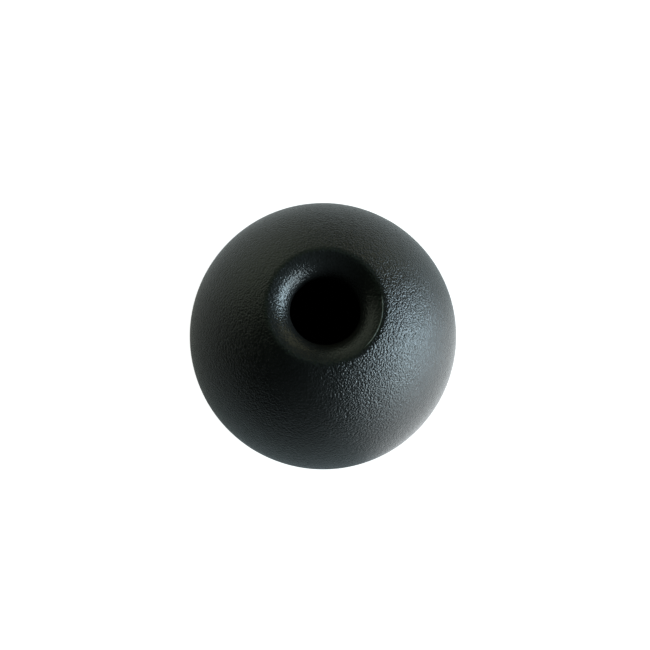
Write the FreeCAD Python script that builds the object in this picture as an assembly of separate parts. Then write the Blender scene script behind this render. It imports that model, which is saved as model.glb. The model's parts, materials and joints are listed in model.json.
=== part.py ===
import FreeCAD, Part
import math
import os

# Case opening friction ball: a palm-sized hollow rubber ball with one open mouth.
# It is pressed on a screwed watch back and turned; the wall flattens against the back and
# grips it by friction, while the air inside leaves through the mouth.
# The ball is made as hollow rubber balls are: two moulded half shells, butted edge to edge
# and joined by a thin film of rubber cement that squeezes out into a bead on the inside.
#
# Frame, in millimetres: origin at the grip pole, where the ball stands; +Z along the mouth.
# Every piece is a body of revolution about Z, drawn as a half section in r and z.

# Driving dimensions
ball_diameter = 65.0
wall_thickness = 8.0
crest_diameter = 25.8         # the highest circle of the mouth's rim
rim_radius = 2.2              # rounding from the outside of the ball over the rim
lip_radius = 8.0              # rounding from the rim down towards the throat
lip_angle = 59.0              # how steep the lip gets before it turns into the throat, in degrees
throat_top_radius = 0.9       # that turn
throat_diameter = 15.8        # the straight hole at the bottom of the mouth
least_throat = 0.5            # the straight length that is always left, by a thicker wall if need be
throat_edge_radius = 0.8      # rounding from the throat into the inside of the ball
cement_thickness = 0.2        # the film between the two half shells
bead_width = 1.8              # the cement bead on the inside wall
bead_height = 0.5

# Sizes that follow from them
outer_radius = ball_diameter / 2
crest_radius = crest_diameter / 2
throat_radius = throat_diameter / 2
half_film = cement_thickness / 2
ball_centre = FreeCAD.Vector(0, 0, outer_radius)

# Centres of the mouth's roundings, as r and as z above the centre of the ball. The rim touches
# the outside of the ball, the lip touches the rim, and the throat's top touches the lip.
steepest = math.radians(lip_angle)
rim_z = math.sqrt((outer_radius - rim_radius) ** 2 - crest_radius**2)
top_r = throat_radius + throat_top_radius
lip_r = top_r + (lip_radius - throat_top_radius) * math.sin(steepest)
lip_z = rim_z - math.sqrt((lip_radius - rim_radius) ** 2 - (lip_r - crest_radius) ** 2)
top_z = lip_z + (lip_radius - throat_top_radius) * math.cos(steepest)

# The inside of the ball, kept low enough to leave the throat its least straight length
edge_r = throat_radius + throat_edge_radius
widest_inside = math.sqrt((top_z - least_throat) ** 2 + edge_r**2) - throat_edge_radius
inner_radius = min(outer_radius - wall_thickness, widest_inside)
edge_z = math.sqrt((inner_radius + throat_edge_radius) ** 2 - edge_r**2)


def point(r, z):
    """A point of a half section. Its z is measured from the centre of the ball."""
    return FreeCAD.Vector(r, 0, z) + ball_centre


def on_sphere(radius, z):
    """The half section's point on a sphere about the centre of the ball, at height z."""
    return point(math.sqrt(radius**2 - z**2), z)


def touching_point(centre, radius):
    """Where a rounding about this centre touches a sphere about the centre of the ball."""
    outward = centre - ball_centre
    outward.normalize()
    return ball_centre + outward * radius


def line(start, end):
    return Part.makeLine(start, end)


def arc(start, end, centre, radius):
    """The shorter arc from start to end about a centre."""
    middle = (start - centre) + (end - centre)
    middle.normalize()
    return Part.Arc(start, centre + middle * radius, end).toShape()


def turned(edges):
    """The solid that a closed half section sweeps in one turn about Z."""
    section = Part.Face(Part.Wire(edges))
    solid = section.revolve(FreeCAD.Vector(0, 0, 0), FreeCAD.Vector(0, 0, 1), 360)
    if solid.Volume < 0:
        solid.reverse()
    return solid


# The edges of the joint, which each half shell shares with the cement
mouth_outer_edge = on_sphere(outer_radius, half_film)
mouth_inner_edge = on_sphere(inner_radius, half_film)
grip_outer_edge = on_sphere(outer_radius, -half_film)
grip_inner_edge = on_sphere(inner_radius, -half_film)


def mouth_half_shell():
    """The half with the mouth: a rim, a wide rounded lip, a short throat and an inner edge."""
    rim_centre = point(crest_radius, rim_z)
    lip_centre = point(lip_r, lip_z)
    top_centre = point(top_r, top_z)
    edge_centre = point(edge_r, edge_z)

    rim_start = touching_point(rim_centre, outer_radius)
    towards_rim = rim_centre - lip_centre
    towards_rim.normalize()
    lip_start = lip_centre + towards_rim * lip_radius
    lip_end = point(lip_r - lip_radius * math.sin(steepest), lip_z + lip_radius * math.cos(steepest))
    throat_start = point(throat_radius, top_z)
    throat_end = point(throat_radius, edge_z)
    edge_end = touching_point(edge_centre, inner_radius)

    return turned(
        [
            arc(mouth_outer_edge, rim_start, ball_centre, outer_radius),
            arc(rim_start, lip_start, rim_centre, rim_radius),
            arc(lip_start, lip_end, lip_centre, lip_radius),
            arc(lip_end, throat_start, top_centre, throat_top_radius),
            line(throat_start, throat_end),
            arc(throat_end, edge_end, edge_centre, throat_edge_radius),
            arc(edge_end, mouth_inner_edge, ball_centre, inner_radius),
            line(mouth_inner_edge, mouth_outer_edge),
        ]
    )


def grip_half_shell():
    """The closed half. Its outside, about the grip pole, is pressed on the watch back."""
    outer_pole = point(0, -outer_radius)
    inner_pole = point(0, -inner_radius)
    return turned(
        [
            arc(grip_outer_edge, outer_pole, ball_centre, outer_radius),
            line(outer_pole, inner_pole),
            arc(inner_pole, grip_inner_edge, ball_centre, inner_radius),
            line(grip_inner_edge, grip_outer_edge),
        ]
    )


def cement_seam():
    """The cement film between the half shells, flush outside, with its bead on the inside."""
    bead_top = on_sphere(inner_radius, bead_width / 2)
    bead_foot = on_sphere(inner_radius, -bead_width / 2)
    bead_crest = on_sphere(inner_radius - bead_height, 0)
    return turned(
        [
            arc(grip_outer_edge, mouth_outer_edge, ball_centre, outer_radius),
            line(mouth_outer_edge, mouth_inner_edge),
            arc(mouth_inner_edge, bead_top, ball_centre, inner_radius),
            Part.Arc(bead_top, bead_crest, bead_foot).toShape(),
            arc(bead_foot, grip_inner_edge, ball_centre, inner_radius),
            line(grip_inner_edge, grip_outer_edge),
        ]
    )


parts = {
    "mouth_half_shell": mouth_half_shell(),
    "grip_half_shell": grip_half_shell(),
    "cement_seam": cement_seam(),
}

os.makedirs("parts", exist_ok=True)
for name, solid in parts.items():
    solid.exportStep("parts/" + name + ".step")
    print(name, "valid", solid.isValid(), "volume", round(solid.Volume, 2))
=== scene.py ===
import json
import math

import bpy
from mathutils import Matrix, Vector


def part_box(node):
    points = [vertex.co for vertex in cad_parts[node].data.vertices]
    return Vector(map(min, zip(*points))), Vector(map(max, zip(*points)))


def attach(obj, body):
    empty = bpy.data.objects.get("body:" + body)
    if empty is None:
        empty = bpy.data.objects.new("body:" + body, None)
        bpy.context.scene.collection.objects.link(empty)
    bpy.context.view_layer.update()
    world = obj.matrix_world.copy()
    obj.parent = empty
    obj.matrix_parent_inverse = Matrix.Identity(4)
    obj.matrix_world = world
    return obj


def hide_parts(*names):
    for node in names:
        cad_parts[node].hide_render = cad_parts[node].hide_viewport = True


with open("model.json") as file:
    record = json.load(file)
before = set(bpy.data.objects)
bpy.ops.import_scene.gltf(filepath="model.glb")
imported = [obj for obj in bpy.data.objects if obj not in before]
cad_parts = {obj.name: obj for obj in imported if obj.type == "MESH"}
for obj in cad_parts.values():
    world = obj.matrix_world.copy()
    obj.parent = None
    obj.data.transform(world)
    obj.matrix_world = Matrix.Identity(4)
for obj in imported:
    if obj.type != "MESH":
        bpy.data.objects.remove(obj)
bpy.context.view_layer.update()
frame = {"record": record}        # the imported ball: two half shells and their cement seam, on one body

# Sizes in metres. The ball stands on its grip pole at the origin, with its mouth along +Z.
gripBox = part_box("grip_half_shell")
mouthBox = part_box("mouth_half_shell")
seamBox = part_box("cement_seam")
mouthMount = next(m for m in frame["record"]["mounts"] if m["name"] == "mouth")

ballRadius = seamBox[1].x
ballCentre = Vector((0, 0, ballRadius))
filmThickness = mouthBox[0].z - gripBox[1].z
throatRadius = mouthMount["dims"]["r_mm"] / 1000
beadWidth = seamBox[1].z - seamBox[0].z

shellSizes = {
    "wall": 0.008,
    "rimRadius": 0.0022,         # the turn from the outside of the ball into the lip
    "crestRadius": 0.0129,       # from the axis to the top of that turn
    "lipRadius": 0.0080,         # the lip, from the rim down towards the throat
    "lipAngle": 59,              # degrees: how steep the lip gets before it turns into the throat
    "throatTopRadius": 0.0009,   # that turn
    "innerEdgeRadius": 0.0008,   # from the throat into the inside of the ball
    "beadHeight": 0.0005,        # the cement bead on the inside wall
}

# The flash: a hairline on the rim where the mould's core met its cavity, left on one side only.
# Its bearings are in degrees from +X towards +Y, and its fades in radians, at its start and its end.
flash = {
    "radius": 0.0125,
    "width": 0.00028,
    "height": 0.00004,
    "trace": 0.00001,            # what the trimming left of it elsewhere
    "start": -46,
    "end": 17,
    "heightFades": (0.16, 0.08),
    # the ends of the flash's painted highlight fade over these
    "highlightFades": (0.3, 0.1),
}
print("frame: ball of", round(2000 * ballRadius, 2), "mm, throat of", 2000 * throatRadius, "mm")


# Helpers that place nodes: a value is linked where it is a socket, and typed in where it isn't.

def feed(tree, socket, value):
    if isinstance(value, bpy.types.NodeSocket):
        tree.links.new(value, socket)
    else:
        socket.default_value = value


def place(tree, kind, inputs=None, **settings):
    made = tree.nodes.new(kind)
    for name, value in settings.items():
        setattr(made, name, value)
    for name, value in (inputs or {}).items():
        feed(tree, made.inputs[name], value)
    return made


def calc(tree, operation, *values):
    return place(tree, "ShaderNodeMath", dict(enumerate(values)), operation=operation).outputs[0]


def minus(tree, value):
    return calc(tree, "MULTIPLY", value, -1.0)


def vectorCalc(tree, operation, a, b=(0.0, 0.0, 0.0), out="Vector"):
    return place(tree, "ShaderNodeVectorMath", {0: a, 1: b}, operation=operation).outputs[out]


def scaled(tree, vector, factor):
    return place(
        tree, "ShaderNodeVectorMath", {"Vector": vector, "Scale": factor}, operation="SCALE"
    ).outputs["Vector"]


def joinedVector(tree, x=0.0, y=0.0, z=0.0):
    return place(tree, "ShaderNodeCombineXYZ", {"X": x, "Y": y, "Z": z}).outputs["Vector"]


def splitVector(tree, vector):
    return place(tree, "ShaderNodeSeparateXYZ", {"Vector": vector}).outputs


def fade(tree, value, start, end, low=0.0, high=1.0):
    # a smooth step from low at start to high at end
    made = place(tree, "ShaderNodeMapRange", {
        "Value": value, "From Min": start, "From Max": end, "To Min": low, "To Max": high,
    }, interpolation_type="SMOOTHSTEP")
    return made.outputs["Result"]


def startTree(name, kind, inputs, outputs):
    # inputs holds each socket's name with its first value, and the value's type picks the socket
    tree = bpy.data.node_groups.new(name, kind)
    for label, value in inputs.items():
        if isinstance(value, bpy.types.Material):
            socketType = "NodeSocketMaterial"
        elif isinstance(value, tuple):
            socketType = "NodeSocketVector"
        elif isinstance(value, str):
            socketType = value
        else:
            socketType = "NodeSocketInt" if isinstance(value, int) else "NodeSocketFloat"
        socket = tree.interface.new_socket(label, in_out="INPUT", socket_type=socketType)
        if not isinstance(value, str):
            socket.default_value = value
    for label, socketType in outputs.items():
        tree.interface.new_socket(label, in_out="OUTPUT", socket_type=socketType)
    given = place(tree, "NodeGroupInput").outputs
    wanted = place(tree, "NodeGroupOutput").inputs
    return tree, given, wanted


def useGroup(tree, group, inputs):
    kind = "GeometryNodeGroup" if tree.bl_idname == "GeometryNodeTree" else "ShaderNodeGroup"
    return place(tree, kind, inputs, node_tree=group).outputs


# Shader groups that the rubber's finishes share. All lengths are in metres on Object coordinates.

def grainGroup():
    # moulded leather grain: rounded pebbles with finer grit between them, as a height from 0 to 1
    tree, given, wanted = startTree(
        "mouldedGrain", "ShaderNodeTree",
        {"Vector": (0.0, 0.0, 0.0), "Pebble Size": 0.0007, "Grit Size": 0.0003, "Grit Share": 0.35},
        {"Height": "NodeSocketFloat"},
    )
    warpScale = calc(tree, "DIVIDE", 0.6, given["Pebble Size"])
    warp = place(tree, "ShaderNodeTexNoise", {
        "Vector": given["Vector"], "Scale": warpScale, "Detail": 1.0,
    })
    swing = vectorCalc(tree, "SUBTRACT", warp.outputs["Color"], (0.5, 0.5, 0.5))
    nudge = scaled(tree, swing, calc(tree, "MULTIPLY", given["Pebble Size"], 0.9))
    warped = vectorCalc(tree, "ADD", given["Vector"], nudge)
    pebbles = place(tree, "ShaderNodeTexVoronoi", {
        "Vector": warped, "Scale": calc(tree, "DIVIDE", 1.0, given["Pebble Size"]),
        "Smoothness": 0.55,
    }, feature="SMOOTH_F1")
    pebbleTops = calc(tree, "SUBTRACT", 1.0, pebbles.outputs["Distance"])
    grit = place(tree, "ShaderNodeTexNoise", {
        "Vector": given["Vector"], "Scale": calc(tree, "DIVIDE", 1.0, given["Grit Size"]),
        "Detail": 2.0, "Roughness": 0.6,
    })
    mixed = place(tree, "ShaderNodeMix", {
        "Factor": given["Grit Share"], "A": pebbleTops, "B": grit.outputs["Fac"],
    }, data_type="FLOAT")
    tree.links.new(mixed.outputs["Result"], wanted["Height"])
    return tree


def cloudGroup():
    # slow variation over the surface, as where a hand has left it a little shinier
    tree, given, wanted = startTree(
        "slowClouds", "ShaderNodeTree",
        {"Vector": (0.0, 0.0, 0.0), "Cloud Size": 0.02, "Contrast": 1.5},
        {"Mask": "NodeSocketFloat"},
    )
    noise = place(tree, "ShaderNodeTexNoise", {
        "Vector": given["Vector"], "Scale": calc(tree, "DIVIDE", 1.0, given["Cloud Size"]),
        "Detail": 4.0, "Roughness": 0.55,
    })
    centred = calc(tree, "SUBTRACT", noise.outputs["Fac"], 0.5)
    lifted = calc(tree, "MULTIPLY_ADD", centred, given["Contrast"], 0.5)
    tree.links.new(fade(tree, lifted, 0.0, 1.0), wanted["Mask"])
    return tree


def dustGroup():
    # single bright specks, few and far between, each smaller than a pebble of the grain
    tree, given, wanted = startTree(
        "dustSpecks", "ShaderNodeTree",
        {"Vector": (0.0, 0.0, 0.0), "Spacing": 0.004, "Speck Size": 0.00012, "Share": 0.3},
        {"Mask": "NodeSocketFloat"},
    )
    cells = place(tree, "ShaderNodeTexVoronoi", {
        "Vector": given["Vector"], "Scale": calc(tree, "DIVIDE", 1.0, given["Spacing"]),
    })
    reach = calc(tree, "DIVIDE", given["Speck Size"], given["Spacing"])
    spot = fade(tree, cells.outputs["Distance"], reach, 0.0)
    chosen = calc(tree, "LESS_THAN", splitVector(tree, cells.outputs["Color"])["X"], given["Share"])
    tree.links.new(calc(tree, "MULTIPLY", spot, chosen), wanted["Mask"])
    return tree


def buffGroup():
    # 1 in the band round the joint where the flash was ground off, with ragged edges
    tree, given, wanted = startTree(
        "buffedBand", "ShaderNodeTree",
        {"Vector": (0.0, 0.0, 0.0), "Height": 0.0325, "Half Width": 0.001, "Ragged": 0.0005,
         "Ragged Scale": 260.0, "Scratch Scale": (180.0, 180.0, 9000.0)},
        {"Band": "NodeSocketFloat", "Scratches": "NodeSocketFloat"},
    )
    edge = place(tree, "ShaderNodeTexNoise", {
        "Vector": given["Vector"], "Scale": given["Ragged Scale"], "Detail": 3.0,
    })
    wander = calc(tree, "MULTIPLY", calc(tree, "SUBTRACT", edge.outputs["Fac"], 0.5), given["Ragged"])
    offset = calc(tree, "SUBTRACT", splitVector(tree, given["Vector"])["Z"], given["Height"])
    away = calc(tree, "ADD", calc(tree, "ABSOLUTE", offset), wander)
    outer = calc(tree, "ADD", given["Half Width"], given["Ragged"])
    tree.links.new(fade(tree, away, outer, given["Half Width"]), wanted["Band"])
    stretched = vectorCalc(tree, "MULTIPLY", given["Vector"], given["Scratch Scale"])
    lines = place(tree, "ShaderNodeTexNoise", {"Vector": stretched, "Scale": 1.0, "Detail": 2.0})
    tree.links.new(lines.outputs["Fac"], wanted["Scratches"])
    return tree


mouldedGrain = grainGroup()
slowClouds = cloudGroup()
dustSpecks = dustGroup()
buffedBand = buffGroup()


def startMaterial(name):
    material = bpy.data.materials.new(name)
    material.use_nodes = True
    tree = material.node_tree
    tree.nodes.clear()
    surface = place(tree, "ShaderNodeBsdfPrincipled")
    place(tree, "ShaderNodeOutputMaterial", {"Surface": surface.outputs["BSDF"]})
    spot = place(tree, "ShaderNodeTexCoord").outputs["Object"]
    return material, tree, surface, spot


def colourMix(tree, factor, a, b):
    made = place(tree, "ShaderNodeMix", data_type="RGBA")
    for name, value in (("Factor_Float", factor), ("A_Color", a), ("B_Color", b)):
        feed(tree, next(s for s in made.inputs if s.identifier == name), value)
    return next(s for s in made.outputs if s.identifier == "Result_Color")


def cloudMask(tree, spot, look):
    return useGroup(tree, slowClouds, {
        "Vector": spot, "Cloud Size": look["cloudSize"], "Contrast": look["cloudContrast"],
    })["Mask"]


def grainHeight(tree, spot, look):
    return useGroup(tree, mouldedGrain, {
        "Vector": spot, "Pebble Size": look["pebbleSize"], "Grit Size": look["gritSize"],
        "Grit Share": look["gritShare"],
    })["Height"]


def bumpSurface(tree, surface, height, depth):
    bump = place(tree, "ShaderNodeBump", {"Height": height, "Distance": depth})
    tree.links.new(bump.outputs["Normal"], surface.inputs["Normal"])


rubberFinish = {
    "black": (0.0125, 0.0130, 0.0128, 1),
    "bloom": (0.0200, 0.0205, 0.0195, 1),   # the faint grey film that rubber brings to its surface
    "dust": (0.32, 0.32, 0.30, 1),
    "flash": (0.32, 0.34, 0.33, 1),         # painted highlight: the flash drawn lighter where it catches the window light
    "roughness": (0.21, 0.25),              # in the shinier and the duller clouds
    "cloudSize": 0.018,
    "cloudContrast": 1.6,
    "pebbleSize": 0.00044,
    "gritSize": 0.00022,
    "gritShare": 0.35,
    "grainDepth": 0.00022,
    "lipGrain": 0.55,                       # the share of that depth on the lip, whose core is polished
    "lipBlend": 0.0008,                     # the width over which the grain gets shallower
    "buffedHalfWidth": 0.0008,
    "buffedRoughness": 0.08,                # what the grinding adds to the roughness
    "buffedScratches": 0.3,                 # their share of the grain's depth
}


def fromAxis(tree, spot):
    x, y = splitVector(tree, spot)[:2]
    return vectorCalc(tree, "LENGTH", joinedVector(tree, x, y), out="Value")


def upperHalf(tree, spot):
    return calc(tree, "GREATER_THAN", splitVector(tree, spot)["Z"], ballRadius)


def alongFlash(tree, spot, start, end, fades):
    # 1 along the flash, with a smooth fade inwards from both of its ends
    x, y = splitVector(tree, spot)[:2]
    bearing = calc(tree, "ARCTAN2", y, x)
    fadeIn = fade(tree, bearing, start, calc(tree, "ADD", start, fades[0]))
    fadeOut = fade(tree, bearing, end, calc(tree, "SUBTRACT", end, fades[1]))
    return calc(tree, "MULTIPLY", fadeIn, fadeOut)


def paintedFlashHighlight(tree, spot):
    # the painted highlight along the flash: full within a fifth of its width from its circle, and gone
    # at half its width from it
    offLine = calc(tree, "ABSOLUTE", calc(tree, "SUBTRACT", fromAxis(tree, spot), flash["radius"]))
    line = fade(tree, offLine, flash["width"] * 0.5, flash["width"] * 0.2)
    start, end = math.radians(flash["start"]), math.radians(flash["end"])
    along = alongFlash(tree, spot, start, end, flash["highlightFades"])
    return calc(tree, "MULTIPLY", calc(tree, "MULTIPLY", line, upperHalf(tree, spot)), along)


def lipArea(tree, spot, blend):
    crest = shellSizes["crestRadius"]
    within = fade(tree, fromAxis(tree, spot), crest, crest - blend)
    return calc(tree, "MULTIPLY", within, upperHalf(tree, spot))


def outerRubber():
    look = rubberFinish
    material, tree, surface, spot = startMaterial("outerRubber")
    clouds = cloudMask(tree, spot, look)
    specks = useGroup(tree, dustSpecks, {"Vector": spot})["Mask"]
    band = useGroup(tree, buffedBand, {
        "Vector": spot, "Height": ballRadius, "Half Width": look["buffedHalfWidth"],
    })
    colour = colourMix(tree, clouds, look["black"], look["bloom"])
    colour = colourMix(tree, specks, colour, look["dust"])
    # painted highlight: the flash is drawn lighter along the arc that faces the windows
    colour = colourMix(tree, paintedFlashHighlight(tree, spot), colour, look["flash"])
    tree.links.new(colour, surface.inputs["Base Color"])
    roughness = fade(tree, clouds, 0.0, 1.0, *look["roughness"])
    roughness = calc(tree, "MULTIPLY_ADD", band["Band"], look["buffedRoughness"], roughness)
    tree.links.new(roughness, surface.inputs["Roughness"])
    kept = fade(tree, lipArea(tree, spot, look["lipBlend"]), 0.0, 1.0, 1.0, look["lipGrain"])
    grain = calc(tree, "MULTIPLY", grainHeight(tree, spot, look), kept)
    scratches = calc(tree, "MULTIPLY", band["Scratches"], look["buffedScratches"])
    height = place(tree, "ShaderNodeMix", {
        "Factor": band["Band"], "A": grain, "B": scratches,
    }, data_type="FLOAT").outputs["Result"]
    bumpSurface(tree, surface, height, look["grainDepth"])
    return material


insideFinish = {
    "black": (0.0090, 0.0095, 0.0095, 1),
    "powder": (0.0300, 0.0300, 0.0285, 1),  # what is left of the mould's release powder
    "roughness": 0.62,
    "cloudSize": 0.009,
    "cloudContrast": 2.2,
    "pebbleSize": 0.0016,                   # wide, soft ripples
    "gritSize": 0.0005,
    "gritShare": 0.5,
    "rippleDepth": 0.00006,
}


def innerRubber():
    look = insideFinish
    material, tree, surface, spot = startMaterial("innerRubber")
    colour = colourMix(tree, cloudMask(tree, spot, look), look["black"], look["powder"])
    tree.links.new(colour, surface.inputs["Base Color"])
    surface.inputs["Roughness"].default_value = look["roughness"]
    bumpSurface(tree, surface, grainHeight(tree, spot, look), look["rippleDepth"])
    return material


cementFinish = {
    "black": (0.0130, 0.0120, 0.0110, 1),
    "brown": (0.0260, 0.0220, 0.0180, 1),
    "roughness": (0.26, 0.40),
    "cloudSize": 0.003,
    "cloudContrast": 2.0,
    "pebbleSize": 0.0004,                   # bubbles in the cement
    "gritSize": 0.0002,
    "gritShare": 0.2,
    "bubbleDepth": 0.00003,
}


def curedCement():
    look = cementFinish
    material, tree, surface, spot = startMaterial("curedCement")
    clouds = cloudMask(tree, spot, look)
    tree.links.new(colourMix(tree, clouds, look["black"], look["brown"]), surface.inputs["Base Color"])
    tree.links.new(fade(tree, clouds, 0.0, 1.0, *look["roughness"]), surface.inputs["Roughness"])
    bumpSurface(tree, surface, grainHeight(tree, spot, look), look["bubbleDepth"])
    return material


materials = {"outside": outerRubber(), "inside": innerRubber(), "cement": curedCement()}
print("materials:", ", ".join(m.name for m in materials.values()))


# Turned shapes. A half section is drawn as arcs and lines, r to the right and z upwards, about the
# centre of the ball, and the tree turns it about Z.

def rise(tree, radius, side):
    # how high a circle of this radius stands, side away from its middle
    square = calc(tree, "SUBTRACT", calc(tree, "POWER", radius, 2.0), calc(tree, "POWER", side, 2.0))
    return calc(tree, "SQRT", square)


def arcAngle(tree, height, radius):
    return calc(tree, "ARCSINE", calc(tree, "DIVIDE", height, radius))


def fromCentre(tree, radius):
    position = place(tree, "GeometryNodeInputPosition").outputs["Position"]
    return vectorCalc(tree, "SUBTRACT", position, joinedVector(tree, z=radius))


def arcStroke(tree, radius, start, end, points, r=0.0, z=0.0):
    arc = place(tree, "GeometryNodeCurveArc", {
        "Resolution": points, "Radius": radius, "Start Angle": start,
        "Sweep Angle": calc(tree, "SUBTRACT", end, start),
    }, mode="RADIUS")
    return place(tree, "GeometryNodeTransform", {
        "Geometry": arc.outputs["Curve"], "Translation": joinedVector(tree, r, z),
    }).outputs["Geometry"]


def lineStroke(tree, start, end, points):
    line = place(tree, "GeometryNodeCurvePrimitiveLine", {
        "Start": joinedVector(tree, *start), "End": joinedVector(tree, *end),
    })
    return place(tree, "GeometryNodeResampleCurve", {
        "Curve": line.outputs["Curve"], "Count": points,
    }).outputs["Curve"]


def jointStroke(tree, startRadius, endRadius, height, points):
    # a line across the wall at the joint, where both of its circles are cut at this height
    start = rise(tree, startRadius, height), height
    end = rise(tree, endRadius, height), height
    return lineStroke(tree, start, end, points)


def turningGroup():
    # turns a half section about Z, closes its poles and seams, and lifts it to stand on the floor
    tree, given, wanted = startTree(
        "turnHalfSection", "GeometryNodeTree",
        {"Half Section": "NodeSocketGeometry", "Ball Radius": 0.03, "Segments": 400,
         "Merge Distance": 5e-7},
        {"Mesh": "NodeSocketGeometry"},
    )
    # the turning circle is the ball's own equator; a section swept along it comes out upside down
    ontoCircle = place(tree, "GeometryNodeTransform", {
        "Geometry": given["Half Section"], "Scale": (1.0, -1.0, 1.0),
        "Translation": joinedVector(tree, minus(tree, given["Ball Radius"])),
    })
    circle = place(tree, "GeometryNodeCurvePrimitiveCircle", {
        "Resolution": given["Segments"], "Radius": given["Ball Radius"],
    })
    swept = place(tree, "GeometryNodeCurveToMesh", {
        "Curve": circle.outputs["Curve"], "Profile Curve": ontoCircle.outputs["Geometry"],
    })
    outwards = place(tree, "GeometryNodeFlipFaces", {"Mesh": swept.outputs["Mesh"]})
    closed = place(tree, "GeometryNodeMergeByDistance", {
        "Geometry": outwards.outputs["Mesh"], "Distance": given["Merge Distance"],
    })
    lifted = place(tree, "GeometryNodeTransform", {
        "Geometry": closed.outputs["Geometry"],
        "Translation": joinedVector(tree, z=given["Ball Radius"]),
    })
    tree.links.new(lifted.outputs["Geometry"], wanted["Mesh"])
    return tree


def reliefGroup():
    # the shallow unevenness of a real moulding, which only sinks; pieces that meet share it
    tree, given, wanted = startTree(
        "mouldingRelief", "GeometryNodeTree",
        {"Mesh": "NodeSocketGeometry", "Ball Radius": 0.03, "Extra Height": 0.0,
         "Wave Size": 0.01, "Wave Depth": 0.00003, "Seed": 0.0, "Crisp Angle": 0.6},
        {"Mesh": "NodeSocketGeometry"},
    )
    spot = fromCentre(tree, given["Ball Radius"])
    outward = vectorCalc(tree, "NORMALIZE", spot)
    waves = place(tree, "ShaderNodeTexNoise", {
        "Vector": spot, "W": given["Seed"], "Detail": 2.0,
        "Scale": calc(tree, "DIVIDE", 1.0, given["Wave Size"]),
    }, noise_dimensions="4D")
    swing = calc(tree, "MULTIPLY", calc(tree, "SUBTRACT", waves.outputs["Fac"], 1.0), 2.0)
    height = calc(tree, "MULTIPLY_ADD", swing, given["Wave Depth"], given["Extra Height"])
    moved = place(tree, "GeometryNodeSetPosition", {
        "Geometry": given["Mesh"], "Offset": scaled(tree, outward, height),
    })
    smooth = place(tree, "GeometryNodeSetShadeSmooth", {"Geometry": moved.outputs["Geometry"]})
    fold = place(tree, "GeometryNodeInputMeshEdgeAngle").outputs[0]
    corner = calc(tree, "GREATER_THAN", fold, given["Crisp Angle"])
    crisp = place(tree, "GeometryNodeSetShadeSmooth", {
        "Geometry": smooth.outputs["Geometry"], "Selection": corner, "Shade Smooth": False,
    }, domain="EDGE")
    tree.links.new(crisp.outputs["Geometry"], wanted["Mesh"])
    return tree


turnHalfSection = turningGroup()
mouldingRelief = reliefGroup()

turning = {
    "Segments": 480,
    "Wave Size": 0.009,
    "Wave Depth": 0.00003,
    "Seed": 4.0,
}
shellFinishes = {"Finish": materials["outside"], "Inside Finish": materials["inside"]}


def turnAndRelieve(tree, given, strokes, extraHeight=0.0):
    joined = place(tree, "GeometryNodeJoinGeometry")
    for stroke in strokes:
        tree.links.new(stroke, joined.inputs["Geometry"])
    turned = useGroup(tree, turnHalfSection, {
        "Half Section": joined.outputs["Geometry"], "Ball Radius": given["Ball Radius"],
        "Segments": given["Segments"],
    })
    return useGroup(tree, mouldingRelief, {
        "Mesh": turned["Mesh"], "Ball Radius": given["Ball Radius"], "Extra Height": extraHeight,
        "Wave Size": given["Wave Size"], "Wave Depth": given["Wave Depth"], "Seed": given["Seed"],
    })["Mesh"]


def endTree(tree, given, wanted, mesh, insideWithin=None):
    # the outside finish everywhere, then the inside one on faces nearer the centre than insideWithin
    made = place(tree, "GeometryNodeRealizeInstances", {"Geometry": mesh})
    made = place(tree, "GeometryNodeSetMaterial", {
        "Geometry": made.outputs["Geometry"], "Material": given["Finish"],
    })
    if insideWithin is not None:
        away = vectorCalc(tree, "LENGTH", fromCentre(tree, given["Ball Radius"]), out="Value")
        made = place(tree, "GeometryNodeSetMaterial", {
            "Geometry": made.outputs["Geometry"], "Material": given["Inside Finish"],
            "Selection": calc(tree, "LESS_THAN", away, insideWithin),
        })
    tree.links.new(made.outputs["Geometry"], wanted["Mesh"])


def startPieceTree(name, values):
    return startTree(name, "GeometryNodeTree", values, {"Mesh": "NodeSocketGeometry"})


def makePiece(name, tree, values):
    # runs the tree once and keeps its result as a plain mesh
    piece = bpy.data.objects.new(name, bpy.data.meshes.new(name))
    bpy.context.scene.collection.objects.link(piece)
    modifier = piece.modifiers.new("shape", "NODES")
    modifier.node_group = tree
    for item in tree.interface.items_tree:
        if item.in_out == "INPUT" and item.name in values:
            modifier[item.identifier] = values[item.name]
    view = bpy.context.evaluated_depsgraph_get()
    mesh = bpy.data.meshes.new_from_object(piece.evaluated_get(view), depsgraph=view)
    piece.modifiers.remove(modifier)
    piece.data = mesh
    mesh.name = name
    print(name + ":", len(mesh.vertices), "points,", len(mesh.polygons), "faces")
    return piece


mouthShell = {
    "Ball Radius": ballRadius,
    "Wall": shellSizes["wall"],
    "Throat Radius": throatRadius,
    "Rim Radius": shellSizes["rimRadius"],
    "Crest Radius": shellSizes["crestRadius"],
    "Lip Radius": shellSizes["lipRadius"],
    "Lip Angle": math.radians(shellSizes["lipAngle"]),
    "Throat Top Radius": shellSizes["throatTopRadius"],
    "Inner Edge Radius": shellSizes["innerEdgeRadius"],
    "Half Film": filmThickness / 2,
    "Outside Rings": 84,
    "Rim Rings": 30,
    "Lip Rings": 30,
    "Throat Top Rings": 8,
    "Throat Rings": 6,
    "Inner Edge Rings": 7,
    "Inside Rings": 44,
    "Joint Rings": 6,
    "Inside Finish Reach": 1.2,   # above the inside wall, in radii of the inner edge
    "Flash Width": flash["width"],
    "Flash Height": flash["height"],
    "Flash Beyond Crest": flash["radius"] - shellSizes["crestRadius"],
    "Flash Start": math.radians(flash["start"]),
    "Flash End": math.radians(flash["end"]),
    "Tear Scale": 900.0,          # of the noise that makes the flash ragged
    "Trace Height": flash["trace"],
    **turning,
    **shellFinishes,
}


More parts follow.
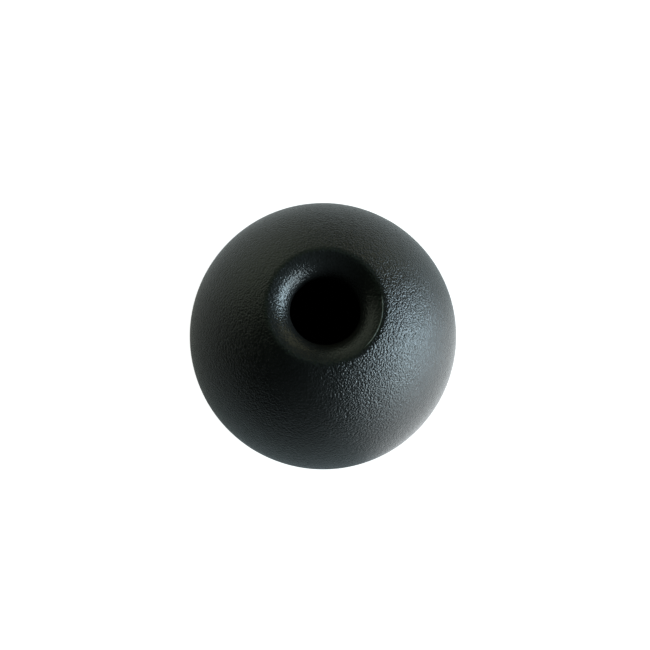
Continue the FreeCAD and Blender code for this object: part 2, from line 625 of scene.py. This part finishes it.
def mouthShellTree():
    tree, given, wanted = startPieceTree("turnedMouthShell", mouthShell)
    ball, film = given["Ball Radius"], given["Half Film"]
    throat, lip, edge = given["Throat Radius"], given["Lip Radius"], given["Inner Edge Radius"]
    inside = calc(tree, "SUBTRACT", ball, given["Wall"])

    # the rim touches the outside and the lip, and the lip touches the throat
    rim, crest = given["Rim Radius"], given["Crest Radius"]
    rimZ = rise(tree, calc(tree, "SUBTRACT", ball, rim), crest)
    rimAngle = calc(tree, "ARCTAN2", rimZ, crest)
    turn, steep = given["Throat Top Radius"], given["Lip Angle"]
    turnR = calc(tree, "ADD", throat, turn)
    inwards = calc(tree, "SUBTRACT", lip, turn)
    lipR = calc(tree, "MULTIPLY_ADD", inwards, calc(tree, "SINE", steep), turnR)
    between = calc(tree, "SUBTRACT", lip, rim)
    across = calc(tree, "SUBTRACT", lipR, crest)
    lipZ = calc(tree, "SUBTRACT", rimZ, rise(tree, between, across))
    lipStart = calc(tree, "ADD", arcAngle(tree, across, between), math.pi / 2)
    lipEnd = calc(tree, "ADD", steep, math.pi / 2)
    turnZ = calc(tree, "MULTIPLY_ADD", inwards, calc(tree, "COSINE", steep), lipZ)

    # the inner edge touches the throat and the inside
    edgeR = calc(tree, "ADD", throat, edge)
    edgeZ = rise(tree, calc(tree, "ADD", inside, edge), edgeR)
    edgeAngle = calc(tree, "ARCTAN2", edgeZ, edgeR)
    edgeEnd = calc(tree, "ADD", edgeAngle, math.pi)

    strokes = [
        arcStroke(tree, ball, arcAngle(tree, film, ball), rimAngle, given["Outside Rings"]),
        arcStroke(tree, rim, rimAngle, lipStart, given["Rim Rings"], crest, rimZ),
        arcStroke(tree, lip, lipStart, lipEnd, given["Lip Rings"], lipR, lipZ),
        arcStroke(tree, turn, lipEnd, math.pi, given["Throat Top Rings"], turnR, turnZ),
        lineStroke(tree, (throat, turnZ), (throat, edgeZ), given["Throat Rings"]),
        arcStroke(tree, edge, math.pi, edgeEnd, given["Inner Edge Rings"], edgeR, edgeZ),
        arcStroke(tree, inside, edgeAngle, arcAngle(tree, film, inside), given["Inside Rings"]),
        jointStroke(tree, inside, ball, film, given["Joint Rings"]),
    ]

    # the flash: a ridge along its circle, ragged, and fading out towards both of its ends
    spot = fromCentre(tree, ball)
    here = joinedVector(tree, fromAxis(tree, spot), splitVector(tree, spot)["Z"])
    beyond = given["Flash Beyond Crest"]
    ridgeZ = calc(tree, "ADD", rimZ, rise(tree, rim, beyond))
    ridge = joinedVector(tree, calc(tree, "ADD", crest, beyond), ridgeZ)
    away = vectorCalc(tree, "DISTANCE", here, ridge, out="Value")
    shape = fade(tree, away, calc(tree, "MULTIPLY", given["Flash Width"], 0.5), 0.0)
    along = alongFlash(tree, spot, given["Flash Start"], given["Flash End"], flash["heightFades"])
    ragged = place(tree, "ShaderNodeTexNoise", {
        "Vector": spot, "Scale": given["Tear Scale"], "Detail": 2.0,
    })
    # where the noise is low, a tear leaves less than half of the height
    tear = fade(tree, ragged.outputs["Fac"], 0.25, 0.62, 0.45, 1.0)
    standing = calc(tree, "MULTIPLY", along, tear)
    height = calc(tree, "MULTIPLY_ADD", standing, given["Flash Height"], given["Trace Height"])

    mesh = turnAndRelieve(tree, given, strokes, calc(tree, "MULTIPLY", shape, height))
    insideWithin = calc(tree, "MULTIPLY_ADD", edge, given["Inside Finish Reach"], inside)
    endTree(tree, given, wanted, mesh, insideWithin)
    return tree


gripShell = {
    "Ball Radius": ballRadius,
    "Wall": shellSizes["wall"],
    "Half Film": filmThickness / 2,
    "Outside Rings": 112,
    "Joint Rings": 6,
    "Inside Rings": 56,
    "Inside Finish Reach": 0.0005,   # above the inside wall
    **turning,
    **shellFinishes,
}


def gripShellTree():
    tree, given, wanted = startPieceTree("turnedGripShell", gripShell)
    ball, film = given["Ball Radius"], given["Half Film"]
    inside = calc(tree, "SUBTRACT", ball, given["Wall"])
    outerEnd = minus(tree, arcAngle(tree, film, ball))
    innerStart = minus(tree, arcAngle(tree, film, inside))
    strokes = [
        arcStroke(tree, ball, -math.pi / 2, outerEnd, given["Outside Rings"]),
        jointStroke(tree, ball, inside, minus(tree, film), given["Joint Rings"]),
        arcStroke(tree, inside, innerStart, -math.pi / 2, given["Inside Rings"]),
    ]
    mesh = turnAndRelieve(tree, given, strokes)
    endTree(tree, given, wanted, mesh, calc(tree, "ADD", inside, given["Inside Finish Reach"]))
    return tree


seam = {
    "Ball Radius": ballRadius,
    "Wall": shellSizes["wall"],
    "Half Film": filmThickness / 2,
    "Bead Width": beadWidth,
    "Bead Height": shellSizes["beadHeight"],
    "Bead Unevenness": 0.0002,
    "Run Scale": 220.0,           # of the noise that makes the bead uneven
    "Outside Rings": 3,
    "Joint Rings": 6,
    "Foot Rings": 5,
    "Bead Rings": 15,
    **turning,
    "Finish": materials["cement"],
}


def seamTree():
    tree, given, wanted = startPieceTree("turnedSeam", seam)
    ball, film = given["Ball Radius"], given["Half Film"]
    inside = calc(tree, "SUBTRACT", ball, given["Wall"])
    filmAngle = arcAngle(tree, film, ball)
    innerAngle = arcAngle(tree, film, inside)
    beadHalf = calc(tree, "MULTIPLY", given["Bead Width"], 0.5)
    beadAngle = arcAngle(tree, beadHalf, inside)

    # the bead's back is an arc through its two feet on the inside wall and its crest
    feetR = rise(tree, inside, beadHalf)
    crestR = calc(tree, "SUBTRACT", inside, given["Bead Height"])
    height = calc(tree, "SUBTRACT", feetR, crestR)
    squares = calc(tree, "ADD", calc(tree, "POWER", beadHalf, 2.0), calc(tree, "POWER", height, 2.0))
    beadRadius = calc(tree, "DIVIDE", squares, calc(tree, "MULTIPLY", height, 2.0))
    beadR = calc(tree, "ADD", crestR, beadRadius)
    halfSweep = arcAngle(tree, beadHalf, beadRadius)
    beadStart = calc(tree, "SUBTRACT", math.pi, halfSweep)
    beadEnd = calc(tree, "ADD", halfSweep, math.pi)
    strokes = [
        arcStroke(tree, ball, minus(tree, filmAngle), filmAngle, given["Outside Rings"]),
        jointStroke(tree, ball, inside, film, given["Joint Rings"]),
        arcStroke(tree, inside, innerAngle, beadAngle, given["Foot Rings"]),
        arcStroke(tree, beadRadius, beadStart, beadEnd, given["Bead Rings"], beadR),
        arcStroke(tree, inside, minus(tree, beadAngle), minus(tree, innerAngle), given["Foot Rings"]),
        jointStroke(tree, inside, ball, minus(tree, film), given["Joint Rings"]),
    ]

    # squeezed-out cement stands higher in some places than in others
    spot = fromCentre(tree, ball)
    proud = fade(tree, vectorCalc(tree, "LENGTH", spot, out="Value"), inside, crestR)
    runs = place(tree, "ShaderNodeTexNoise", {
        "Vector": spot, "Scale": given["Run Scale"], "Detail": 3.0,
    })
    swing = calc(tree, "SUBTRACT", runs.outputs["Fac"], 0.5)
    swell = calc(tree, "MULTIPLY", swing, given["Bead Unevenness"])
    mesh = turnAndRelieve(tree, given, strokes, calc(tree, "MULTIPLY", swell, minus(tree, proud)))
    endTree(tree, given, wanted, mesh)
    return tree


mouthPiece = makePiece("mouth_half", mouthShellTree(), mouthShell)
gripPiece = makePiece("grip_half", gripShellTree(), gripShell)
seamPiece = makePiece("seam_cement", seamTree(), seam)

for piece, node, slot in (
    (mouthPiece, "mouth_half_shell", "moulded_rubber"),
    (gripPiece, "grip_half_shell", "moulded_rubber"),
    (seamPiece, "cement_seam", "rubber_cement"),
):
    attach(piece, "root")
    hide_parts(node)
print("pieces: two half shells and the seam ride on the root")


floor = {
    "halfSize": 3.0,
    "colour": (0.60, 0.60, 0.60, 1),
    "roughness": 0.9,
    "gloss": 0.2,
    "white": 0.95,          # the glow that the camera sees, which keeps the paper white in the shade
    "spill": 1.20,          # a painted pool of the window's spill on the paper: a glow which only the ball sees
    "spillTurn": -17,       # its bearing from the ball
    "spillEdge": 0.62,      # the cosines from that bearing where it starts and is full
    "spillFull": 1.0,
    "nearPaper": 0.02,      # the painted glow that stands in for what the paper gives back towards -Y
    "farPaper": 0.25,       # and towards +Y
}


def paleFloor():
    mesh = bpy.data.meshes.new("paleFloor")
    half = floor["halfSize"]
    corners = [(-half, -half, 0), (half, -half, 0), (half, half, 0), (-half, half, 0)]
    mesh.from_pydata(corners, [], [(0, 1, 2, 3)])
    sheet = bpy.data.objects.new("paleFloor", mesh)
    bpy.context.scene.collection.objects.link(sheet)
    material, tree, surface, spot = startMaterial("whitePaper")
    surface.inputs["Base Color"].default_value = floor["colour"]
    surface.inputs["Roughness"].default_value = floor["roughness"]
    surface.inputs["Specular IOR Level"].default_value = floor["gloss"]
    surface.inputs["Emission Color"].default_value = (1, 1, 1, 1)
    turn = math.radians(floor["spillTurn"])
    towardsSpill = (math.cos(turn), math.sin(turn), 0.0)
    bearing = vectorCalc(tree, "NORMALIZE", spot)
    alongSpill = vectorCalc(tree, "DOT_PRODUCT", bearing, towardsSpill, out="Value")
    # painted light: for all rays but the camera's, the paper glows with the spill and the bounce instead
    # of being lit by them
    paper = fade(tree, splitVector(tree, bearing)["Y"], -1.0, 1.0, floor["nearPaper"], floor["farPaper"])
    spill = fade(tree, alongSpill, floor["spillEdge"], floor["spillFull"], paper, floor["spill"])
    ray = place(tree, "ShaderNodeLightPath").outputs["Is Camera Ray"]
    glow = place(tree, "ShaderNodeMix", {
        "Factor": ray, "A": spill, "B": floor["white"],
    }, data_type="FLOAT")
    tree.links.new(glow.outputs["Result"], surface.inputs["Emission Strength"])
    mesh.materials.append(material)


paleFloor()


# Each light is a soft rectangle or ellipse that faces the ball. Its bearing is in degrees: turn from +X
# towards +Y, and height above the floor.
lights = {
    "windowLeft": {"turn": -27, "height": 11, "away": 0.60, "width": 0.28, "tall": 0.20,
                   "power": 2.2, "colour": (0.76, 0.93, 1.0)},
    "windowRight": {"turn": 4, "height": 13, "away": 0.60, "width": 0.32, "tall": 0.22,
                    "power": 4.0, "colour": (0.68, 0.89, 1.0)},
    "backWall": {"turn": 134, "height": 20, "away": 0.60, "width": 1.0, "tall": 0.50,
                 "power": 0.80, "colour": (0.87, 1.0, 0.78), "shape": "ELLIPSE"},
    "sideWall": {"turn": 58, "height": 16, "away": 0.60, "width": 0.24, "tall": 0.16,
                 "power": 0.15, "colour": (1.0, 0.95, 0.5)},
    "frontWall": {"turn": -105, "height": 24, "away": 0.60, "width": 0.80, "tall": 0.26,
                  "power": 0.04, "colour": (0.8, 0.95, 1.0)},
    "ceiling": {"turn": 120, "height": 68, "away": 0.60, "width": 0.35, "tall": 0.30,
                "power": 0.13, "colour": (0.6, 1.0, 0.65)},
}


def addLight(name, values):
    turn, height = math.radians(values["turn"]), math.radians(values["height"])
    level = math.cos(height)
    direction = Vector((math.cos(turn) * level, math.sin(turn) * level, math.sin(height)))
    data = bpy.data.lights.new(name, "AREA")
    data.shape = values.get("shape", "RECTANGLE")
    data.size, data.size_y = values["width"], values["tall"]
    data.energy, data.color = values["power"], values["colour"]
    lamp = bpy.data.objects.new(name, data)
    lamp.location = ballCentre + direction * values["away"]
    lamp.rotation_euler = direction.to_track_quat("Z", "Y").to_euler()
    bpy.context.scene.collection.objects.link(lamp)


for name, values in lights.items():
    addLight(name, values)

room = {"colour": (0.006, 0.008, 0.008, 1), "seen": (1.0, 1.0, 1.0, 1)}


def paintRoom():
    # the camera sees white past the floor's edge, and the ball mirrors a dim room
    world = bpy.data.worlds.new("studioRoom")
    bpy.context.scene.world = world
    world.use_nodes = True
    tree = world.node_tree
    tree.nodes.clear()
    dim = place(tree, "ShaderNodeBackground", {"Color": room["colour"], "Strength": 1.0})
    seen = place(tree, "ShaderNodeBackground", {"Color": room["seen"], "Strength": 1.0})
    ray = place(tree, "ShaderNodeLightPath").outputs["Is Camera Ray"]
    mix = place(tree, "ShaderNodeMixShader", {
        0: ray, 1: dim.outputs["Background"], 2: seen.outputs["Background"],
    })
    place(tree, "ShaderNodeOutputWorld", {"Surface": mix.outputs["Shader"]})


paintRoom()
print("stage: floor,", len(lights), "lights and a dim room")


shot = {
    "elevation": 77.0,       # degrees above the floor, looking along +Y
    "roll": 5.0,
    "distance": 0.260,       # from the centre of the ball
    "lens": 58.64,
    "sensor": 36.0,
    "shift": (0.0031, 0.0172),
    "clip": (0.01, 20.0),
}


def addCamera():
    data = bpy.data.cameras.new("shotCamera")
    data.lens, data.sensor_width = shot["lens"], shot["sensor"]
    data.shift_x, data.shift_y = shot["shift"]
    data.clip_start, data.clip_end = shot["clip"]
    camera = bpy.data.objects.new("shotCamera", data)
    tilt = math.radians(shot["elevation"])
    back = Vector((0, -math.cos(tilt), math.sin(tilt)))
    roll = Matrix.Rotation(math.radians(shot["roll"]), 3, "Z")
    turn = (-back).to_track_quat("-Z", "Y").to_matrix() @ roll
    camera.matrix_world = Matrix.Translation(ballCentre + back * shot["distance"]) @ turn.to_4x4()
    bpy.context.scene.collection.objects.link(camera)
    bpy.context.scene.camera = camera


addCamera()
bpy.context.scene.view_settings.view_transform = "Standard"
